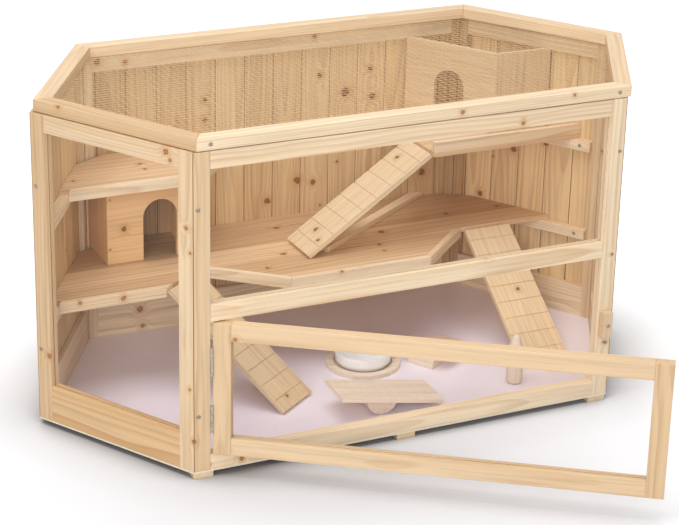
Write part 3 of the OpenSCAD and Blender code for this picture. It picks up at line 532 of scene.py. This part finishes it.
# tones per piece: besides the boards' own differences, painted shade on pieces facing the left lamps and
# painted light on dim inner walls
TONES_AND_PAINTED_LIGHT = {
    "post_left": (0.6,), "post_front_left": (0.35, 0.5), "post_front_right": (0.0,),
    "post_right": (0.35,), "post_back_right": (0.85,), "post_back_left": (0.2,),
    "front_top_rail": (0.15,), "front_mid_rail": (0.0,), "front_bottom_rail": (0.0,),
    "side_top_rail": (0.4,), "side_bottom_rail": (0.6,), "wall_top_rails": (0.3, 0.2, 0.3, 0.25),
    "wall_bottom_rails": (0.0,), "cleats": (0.0,), "edge_strips": (0.2, 0.0, 0.2, 0.0, 0.0, 0.2, 0.0),
    "platform_lath": (0.0,), "battens": (0.3,), "lid_front_rail": (0.1,), "lid_back_rail": (0.25,),
    "lid_side_rails": (0.65, 0.3, 0.3, 0.25), "door_stiles": (0.55,), "door_rails": (0.45, 0.38),
    "turn_button": (0.3,), "house_front": (0.0,), "house_sides": (0.0,), "room_arch_wall": (0.1,),
    "room_end_wall": (0.0,),
    "back_boards": (0.6, 0.65, 0.5, 0.55, 0.4, 0.2, 0.4, 0.35, 0.2, 0.25, 0.15, 0.2, 0.3, 0.3),
    "back_right_boards": (0.2, -0.4, 0.0, -0.2, 0.0, 0.1),
    "back_left_boards": (0.3, 0.3, 0.3, -0.1, 0.0, 0.4), "ramp_left": (0.6,), "ramp_right": (0.0,),
    "ramp_upper": (0.1,), "seesaw_plank": (0.0,)}
print("wood finishes:", [wood.name for wood in WOODS])

# %% Laths, boards and panels
ALONG_X = (1, 0, 0)
LATHS = ("post_left", "post_front_left", "post_front_right", "post_right", "post_back_right",
         "post_back_left", "front_top_rail", "front_mid_rail", "front_bottom_rail", "side_top_rail",
         "side_bottom_rail", "wall_top_rails", "wall_bottom_rails", "cleats", "edge_strips",
         "platform_lath", "battens", "lid_front_rail", "lid_back_rail", "lid_side_rails",
         "turn_button")
for node in LATHS:
    if node.startswith("post"):
        timber(node, lath_wood, width=1.1 * MM, dark_at=mitres)
    elif node == "side_bottom_rail":
        timber(node, slab_wood, lean=0.03)
    else:
        timber(node, lath_wood)
for node in ("door_stiles", "door_rails"):
    timber(node, door_wood)
for node in ("back_boards", "back_left_boards", "back_right_boards", "right_boards"):
    timber(node, board_wood, along=(0, 0, 1), width=0.9 * MM, dark_at=joints, lean=0.03)
for node in ("platform", "left_shelf", "right_shelf"):
    timber(node, panel_wood, along=ALONG_X, width=0.6 * MM, in_place=True, lean=0.03)
for node in ("house_front", "house_sides"):
    timber(node, small_panel, width=0.5 * MM, lean=0.05)
for node in ("room_arch_wall", "room_end_wall"):
    timber(node, room_panel, width=0.5 * MM, lean=0.05)
for node in ("ramp_left", "ramp_right", "ramp_upper"):
    timber(node, toy_wood, width=0.4 * MM, dark_at=groove_shade_faces)
for node in ("seesaw_plank", "tilt_plank"):
    timber(node, loose_wood, width=0.4 * MM, dark_at=groove_shade_faces)
for node in ("seesaw_rocker", "tilt_log", "peg", "bowl_board"):
    timber(node, loose_wood, width=0.5 * MM)
timber("base_panel", plywood, along=ALONG_X, width=0.4 * MM)
print("timber pieces:", len(made_pieces))

# %% [markdown]
# ## Clear panes
# The panes are 2 mm acrylic in grooves. Flat acrylic is almost invisible from the front: it adds a
# grey reflection at a slant, a little haze where fine scratches catch the light, and nothing else.
# A sheet this thin doesn't shift what is behind it, so each face is clear and partly a mirror. The
# mirror share follows Schlick's rule, which reads the same from both sides of a face, so light
# doesn't get trapped inside the sheet.


# %% Acrylic
def acrylic(name):
    """Mirror share = 0.006 + 0.9 * (1 - cos(angle))^5 at each face, and a haze of 0.3 to 1.2 %, uneven by
    noise."""
    material, tree, shader = finish(name)
    tree.nodes.remove(shader)
    facing = add(tree, "ShaderNodeLayerWeight", {"Blend": 0.5}).outputs["Facing"]
    steep = add(tree, "ShaderNodeMath", {0: facing, 1: 5.0}, operation="POWER").outputs[0]
    mirror = add(tree, "ShaderNodeMath", {0: steep, 1: 0.9, 2: 0.006}, operation="MULTIPLY_ADD").outputs[0]
    place = add(tree, "ShaderNodeTexCoord").outputs["Object"]
    scratch = add(tree, "ShaderNodeTexNoise", {"Vector": place, "Scale": 4.0, "Detail": 6.0}).outputs[0]
    haze = add(tree, "ShaderNodeMapRange", {0: scratch, 1: 0.35, 2: 0.7, 3: 0.003, 4: 0.012}).outputs[0]
    rough = add(tree, "ShaderNodeMapRange", {0: scratch, 1: 0.3, 2: 0.7, 3: 0.02, 4: 0.08}).outputs[0]
    clear = add(tree, "ShaderNodeBsdfTransparent", {0: colour("#fefefe")})
    gloss = add(tree, "ShaderNodeBsdfGlossy", {"Roughness": rough, "Color": colour("#ffffff")})
    dust = add(tree, "ShaderNodeBsdfDiffuse", {"Color": colour("#f4f4f2")})
    pane = add(tree, "ShaderNodeMixShader", {0: mirror, 1: clear.outputs[0], 2: gloss.outputs[0]})
    pane = add(tree, "ShaderNodeMixShader", {0: haze, 1: pane.outputs[0], 2: dust.outputs[0]})
    tree.links.new(pane.outputs[0], tree.nodes["Material Output"].inputs["Surface"])
    return material


clear_pane = acrylic("clear_acrylic")
dress(("front_pane", "side_pane", "door_pane"), clear_pane)
print("panes:", clear_pane.name)

# %% [markdown]
# ## The floor sheet
# A pale lilac plastic sheet lies loose on the base board, smooth enough to reflect the wood dimly,
# and it never lies quite flat. The wave is left to the bump, because the sheet is held down by its
# own weight to within a fraction of a millimetre.

# %% Floor sheet
sheet_film, tree, shader = finish("tinted_plastic_sheet", Roughness=0.32, IOR=1.46)
place = add(tree, "ShaderNodeTexCoord").outputs["Object"]
wave = add(tree, "ShaderNodeTexNoise", {"Vector": place, "Scale": 3.0, "Detail": 1.5}).outputs[0]
scuff = add(tree, "ShaderNodeTexNoise", {"Vector": place, "Scale": 60.0, "Detail": 4.0}).outputs[0]
tint = add(tree, "ShaderNodeValToRGB", {0: wave}, [(0.3, "#f2e5f2"), (0.7, "#fbf3fc")]).outputs[0]
tree.links.new(tint, shader.inputs["Base Color"])
rough = add(tree, "ShaderNodeMath", {0: scuff, 1: 0.16, 2: 0.16}, operation="MULTIPLY_ADD").outputs[0]
tree.links.new(rough, shader.inputs["Roughness"])
bump = add(tree, "ShaderNodeBump", {"Strength": 0.2, "Distance": 2 * MM, "Height": wave})
tree.links.new(bump.outputs[0], shader.inputs["Normal"])
dress(("floor_film",), sheet_film)
print("floor sheet:", sheet_film.name)

# %% [markdown]
# ## Zinc and wire
# The hinges are bright zinc plate over steel, and the screws have a duller plate that handling has
# greyed. The lid's mesh is welded from two layers of galvanised wire, 12.7 mm apart each way, one
# layer lying on the other. Hot-dip galvanising leaves a grey, slightly rough skin that is lighter
# than bare steel. The wire is coloured a warm cream, which is a painted reflection of the wood
# round it.


# %% Metal finishes
def zinc(name, light, dark, rough):
    """Plated steel: metallic, with a cloudy tone from the bath."""
    material, tree, shader = finish(name, Metallic=1.0)
    place = add(tree, "ShaderNodeTexCoord").outputs["Object"]
    cloud = add(tree, "ShaderNodeTexNoise", {"Vector": place, "Scale": 240.0, "Detail": 3.0}).outputs[0]
    tint = add(tree, "ShaderNodeValToRGB", {0: cloud}, [(0.3, dark), (0.7, light)]).outputs[0]
    tree.links.new(tint, shader.inputs["Base Color"])
    skin = add(tree, "ShaderNodeMath", {0: cloud, 1: 0.2, 2: rough - 0.1}, operation="MULTIPLY_ADD")
    tree.links.new(skin.outputs[0], shader.inputs["Roughness"])
    return material


zinc_plate = zinc("zinc_plate", "#d8d4ca", "#aaa69c", 0.36)
# the wire's warm cream colour is a painted reflection of the surrounding wood
wire_zinc_painted_warm = zinc("galvanised_wire_painted_warm", "#f4e2c2", "#d8c5a2", 0.4)
screw_plate = zinc("zinc_plated_screw", "#c2beb3", "#958f86", 0.42)
dress(("lid_hinges", "lid_hinge_leaves", "door_hinges", "door_hinge_leaves"), zinc_plate)
print("metals:", zinc_plate.name, wire_zinc_painted_warm.name, screw_plate.name)


# %% Wires
def wires(starts, ends, radius, sides=6, rings=9, bow=0.5 * MM):
    """Straight wires as tubes: ring k of a wire is a circle of the given radius round start + t (end -
    start), with a slow sideways bow. Returns the corners and faces of all of them."""
    starts, ends = np.asarray(starts, float), np.asarray(ends, float)
    t = np.linspace(0, 1, rings)[None, :, None, None]
    turn = np.linspace(0, 2 * np.pi, sides, endpoint=False)[None, None, :, None]
    run = ends - starts
    run = run / np.linalg.norm(run, axis=1, keepdims=True)
    side = np.stack([-run[:, 1], run[:, 0], 0 * run[:, 0]], 1)[:, None, None, :]
    up = np.array([0, 0, 1.0])[None, None, None, :]
    phase = random.uniform(0, 6, len(starts))[:, None, None, None]
    sway = bow * np.sin(t * 9 + phase)
    centre = starts[:, None, None, :] + t * (ends - starts)[:, None, None, :] + sway * side
    points = centre + radius * (np.cos(turn) * side + np.sin(turn) * up)
    count = len(starts)
    ring = np.arange(count * rings * sides).reshape(count, rings, sides)
    low, high = ring[:, :-1], ring[:, 1:]
    quads = np.stack([low, np.roll(low, -1, 2), np.roll(high, -1, 2), high], -1).reshape(-1, 4).tolist()
    caps = ring[:, 0, ::-1].tolist() + ring[:, -1].tolist()
    return points.reshape(-1, 3), quads + caps


# %% Wire mesh of the lid
PITCH = 12.7 * MM
WIRE = 0.33 * MM                        # radius
SLANT = math.tan(math.radians(60))      # rise of the lid's four short sides against its long ones
low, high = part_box("lid_mesh")
mid_x, half_x, half_y = (low.x + high.x) / 2, (high.x - low.x) / 2, (high.y - low.y) / 2
mesh_z = (low.z + high.z) / 2
ys = np.arange(-half_y + PITCH / 2, half_y, PITCH)
reach = half_x - np.abs(ys) / SLANT - 1 * MM
xs = np.arange(-half_x + PITCH / 2, half_x, PITCH)
depth = np.minimum(half_y, (half_x - np.abs(xs)) * SLANT) - 1 * MM
over, under = mesh_z + WIRE * 0.9, mesh_z - WIRE * 0.9
long_wires = wires(np.stack([mid_x - reach, ys, ys * 0 + over], 1),
                   np.stack([mid_x + reach, ys, ys * 0 + over], 1), WIRE, rings=25)
cross_wires = wires(np.stack([mid_x + xs, -depth, xs * 0 + under], 1),
                    np.stack([mid_x + xs, depth, xs * 0 + under], 1), WIRE, rings=15)
points = np.concatenate([long_wires[0], cross_wires[0]])
faces = long_wires[1] + [[i + len(long_wires[0]) for i in f] for f in cross_wires[1]]
stand_for(surface("welded_wire_mesh", points, faces, wire_zinc_painted_warm, smooth=True), "lid_mesh")
print("wires:", len(ys), "along and", len(xs), "across")


# %% [markdown]
# ## Screw heads
# The laths are held by countersunk cross-head screws. A head is a shallow dome on a polar grid, and
# the cross is pressed into it where a point is close to either of two lines through the middle.


# %% Screw heads
RINGS, SPOKES = 9, 28
SLOT, SLOT_REACH = 0.13, 0.68      # half width and half length of the cross, in head radii
HEAD_SHARE = 0.9                   # the head is a little smaller than its countersink


def screw_head(centre, out, radius, twist):
    """Height over a disc: a shallow dome less a cross-shaped recess, exp(-(d / w)^2) deep near a slot."""
    around = np.array(out, float)
    side = np.cross(around, [0.3, 0.2, 0.93])
    side = side / np.linalg.norm(side)
    other = np.cross(around, side)
    r, a = np.meshgrid(np.linspace(0, 1, RINGS)[1:], np.linspace(0, 2 * np.pi, SPOKES, endpoint=False),
                       indexing="ij")
    x, y = r * np.cos(a + twist), r * np.sin(a + twist)
    slot = np.maximum(np.exp(-(x / SLOT) ** 2), np.exp(-(y / SLOT) ** 2)) * (r < SLOT_REACH)
    height = 0.12 * (1 - r ** 2) - 0.42 * slot
    flat = np.concatenate([[[0, 0, -0.3]], np.stack([x, y, height], -1).reshape(-1, 3),
                           np.stack([x[-1] * 0.7, y[-1] * 0.7, height[-1] - 0.35], -1)])
    points = np.array(centre) + radius * (flat[:, :1] * side + flat[:, 1:2] * other + flat[:, 2:] * around)
    rings = np.arange(RINGS * SPOKES).reshape(RINGS, SPOKES) + 1
    low, high = rings[:-1], rings[1:]
    quads = np.stack([low, high, np.roll(high, -1, 1), np.roll(low, -1, 1)], -1).reshape(-1, 4).tolist()
    fan = np.stack([0 * rings[0], rings[0], np.roll(rings[0], -1)], -1).tolist()
    return points, fan + quads + [rings[-1, ::-1].tolist()]


def head_of(solid):
    """Centre, outward normal and radius of a screw's flat head: its largest flat face."""
    face = max(solid.faces, key=lambda f: f.calc_area())
    radius = HEAD_SHARE * math.sqrt(face.calc_area() / math.pi)
    return np.array(face.calc_center_median()), np.array(face.normal), radius


def screws(node):
    """All the screws of a node, as one piece."""
    source, group, count = solids_of(node)
    points, faces, start = [], [], 0
    for number in range(count):
        solid = one_solid(source, group, number)
        centre, out, radius = head_of(solid)
        made = screw_head(centre, out, radius, random.uniform(0, 1.5))
        points.append(made[0])
        faces += [[start + i for i in f] for f in made[1]]
        start += len(made[0])
        solid.free()
    source.free()
    stand_for(surface(node + "_heads", np.concatenate(points), faces, screw_plate, smooth=True), node)
    return count


print("screws:", {node: screws(node) for node in ("frame_screws", "lid_screws", "button_screw")})

# %% [markdown]
# ## The bowl
# A small white glazed dish sits in a wooden ring. Glaze is glossy and pools a little thicker at the
# foot, so its tone is not quite even.

# %% Bowl
glaze, tree, shader = finish("white_glaze", Roughness=0.12, IOR=1.52, Coat_Weight=0.4, Coat_Roughness=0.05)
place = add(tree, "ShaderNodeTexCoord").outputs["Object"]
pool = add(tree, "ShaderNodeTexNoise", {"Vector": place, "Scale": 30.0, "Detail": 2.0}).outputs[0]
tint = add(tree, "ShaderNodeValToRGB", {0: pool}, [(0.3, "#f6f5f3"), (0.7, "#ffffff")]).outputs[0]
tree.links.new(tint, shader.inputs["Base Color"])
dress(("bowl",), glaze)
print("bowl:", glaze.name)

# %% [markdown]
# ## The studio
# A pale floor runs out under the cage into a white room. A wide soft box hangs above the cage, a
# smaller and harder main lamp high to the left, and two fills stand in front, the left one much the
# stronger. The shadows on the floor sheet fall to the right and a little back, so the main lamp
# hangs left of the cage. The floor is greyer near the cage and whitens with distance: this is
# painted light, a glow that only the camera sees and that rises with distance, as a background
# lamp would give. Close to the cage, where little of the room is open to it, painted shade darkens
# the floor's colour and takes its glow away, which sets the cage on the ground.

# %% Floor and light
FLOOR_HALF = 14.0                          # m
PAINTED_LIGHT_FROM = (-0.21, -0.3, 0)             # the painted glow whitens the floor with distance from here
NEAR, FAR = (0.16, 0.05), (1.13, 0.62)     # distance in m and painted glow there
PAINTED_SHADE_REACH = 0.13                                # m, how near a thing has to be for the painted shade to darken the floor
AMBIENT = 0.43                             # share of the white room that lights the cage
floor_finish, tree, shader = finish("studio_floor", Roughness=0.9, Specular_IOR_Level=0.1)
# painted shade: the floor's colour darkens where things stand close over it, and so does its glow
open_sky = add(tree, "ShaderNodeAmbientOcclusion", {"Distance": PAINTED_SHADE_REACH}).outputs["AO"]
tint = add(tree, "ShaderNodeValToRGB", {0: open_sky}, [(0.3, "#8c8a8a"), (0.75, "#d7d7da")]).outputs[0]
tree.links.new(tint, shader.inputs["Base Color"])
seen = add(tree, "ShaderNodeLightPath").outputs["Is Camera Ray"]
place = add(tree, "ShaderNodeTexCoord").outputs["Object"]
away = add(tree, "ShaderNodeVectorMath", {0: place, 1: PAINTED_LIGHT_FROM}, operation="DISTANCE").outputs["Value"]
# painted light: a glow that only the camera sees, rising with distance from the cage
painted_glow = add(tree, "ShaderNodeMapRange", {0: away, 1: NEAR[0], 2: FAR[0], 3: NEAR[1], 4: FAR[1]}).outputs[0]
painted_glow = add(tree, "ShaderNodeMath", {0: painted_glow, 1: seen}, operation="MULTIPLY").outputs[0]
painted_shade_on_glow = add(tree, "ShaderNodeMath", {0: open_sky, 1: 2.0}, operation="POWER").outputs[0]
painted_glow = add(tree, "ShaderNodeMath", {0: painted_glow, 1: painted_shade_on_glow}, operation="MULTIPLY").outputs[0]
shader.inputs["Emission Color"].default_value = (1, 1, 1, 1)
tree.links.new(painted_glow, shader.inputs["Emission Strength"])
floor_corners = [(x * FLOOR_HALF, y * FLOOR_HALF, 0) for x, y in ((-1, -1), (1, -1), (1, 1), (-1, 1))]
floor = surface("studio_floor", floor_corners, [(0, 1, 2, 3)], floor_finish)


def lamp(name, place, aim, size, power):
    """A square area lamp that points from its place to its aim."""
    light = bpy.data.lights.new(name, "AREA")
    light.size = size
    light.energy = power
    holder = bpy.data.objects.new(name, light)
    bpy.context.scene.collection.objects.link(holder)
    holder.location = place
    holder.rotation_euler = (Vector(aim) - Vector(place)).to_track_quat("-Z", "Y").to_euler()


lamp("main_lamp", (-1.9, -0.7, 3.6), (0, 0, 0.2), 1.3, 30)
lamp("overhead_softbox", (0.0, -0.3, 4.2), (0, 0, 0.2), 3.0, 76)
lamp("left_fill", (-2.4, -3.6, 1.8), (0, 0, 0.3), 2.4, 92)
lamp("right_fill", (2.6, -3.6, 1.8), (0, 0, 0.3), 2.4, 8)

world = bpy.data.worlds.new("studio")
bpy.context.scene.world = world
world.use_nodes = True
tree = world.node_tree
seen = add(tree, "ShaderNodeLightPath")
direct = add(tree, "ShaderNodeMath", {0: seen.outputs["Is Camera Ray"], 1: seen.outputs["Is Glossy Ray"]},
             operation="MAXIMUM").outputs[0]
direct = add(tree, "ShaderNodeMath", {0: direct, 1: seen.outputs["Is Transmission Ray"]},
             operation="MAXIMUM").outputs[0]
strength = add(tree, "ShaderNodeMapRange", {0: direct, 3: AMBIENT, 4: 1.0}).outputs[0]
back = tree.nodes["Background"]
back.inputs["Color"].default_value = (1, 1, 1, 1)
tree.links.new(strength, back.inputs["Strength"])
bpy.context.scene.view_settings.view_transform = "Standard"

# %% [markdown]
# ## Finish

# %% Finish
bpy.context.view_layer.update()
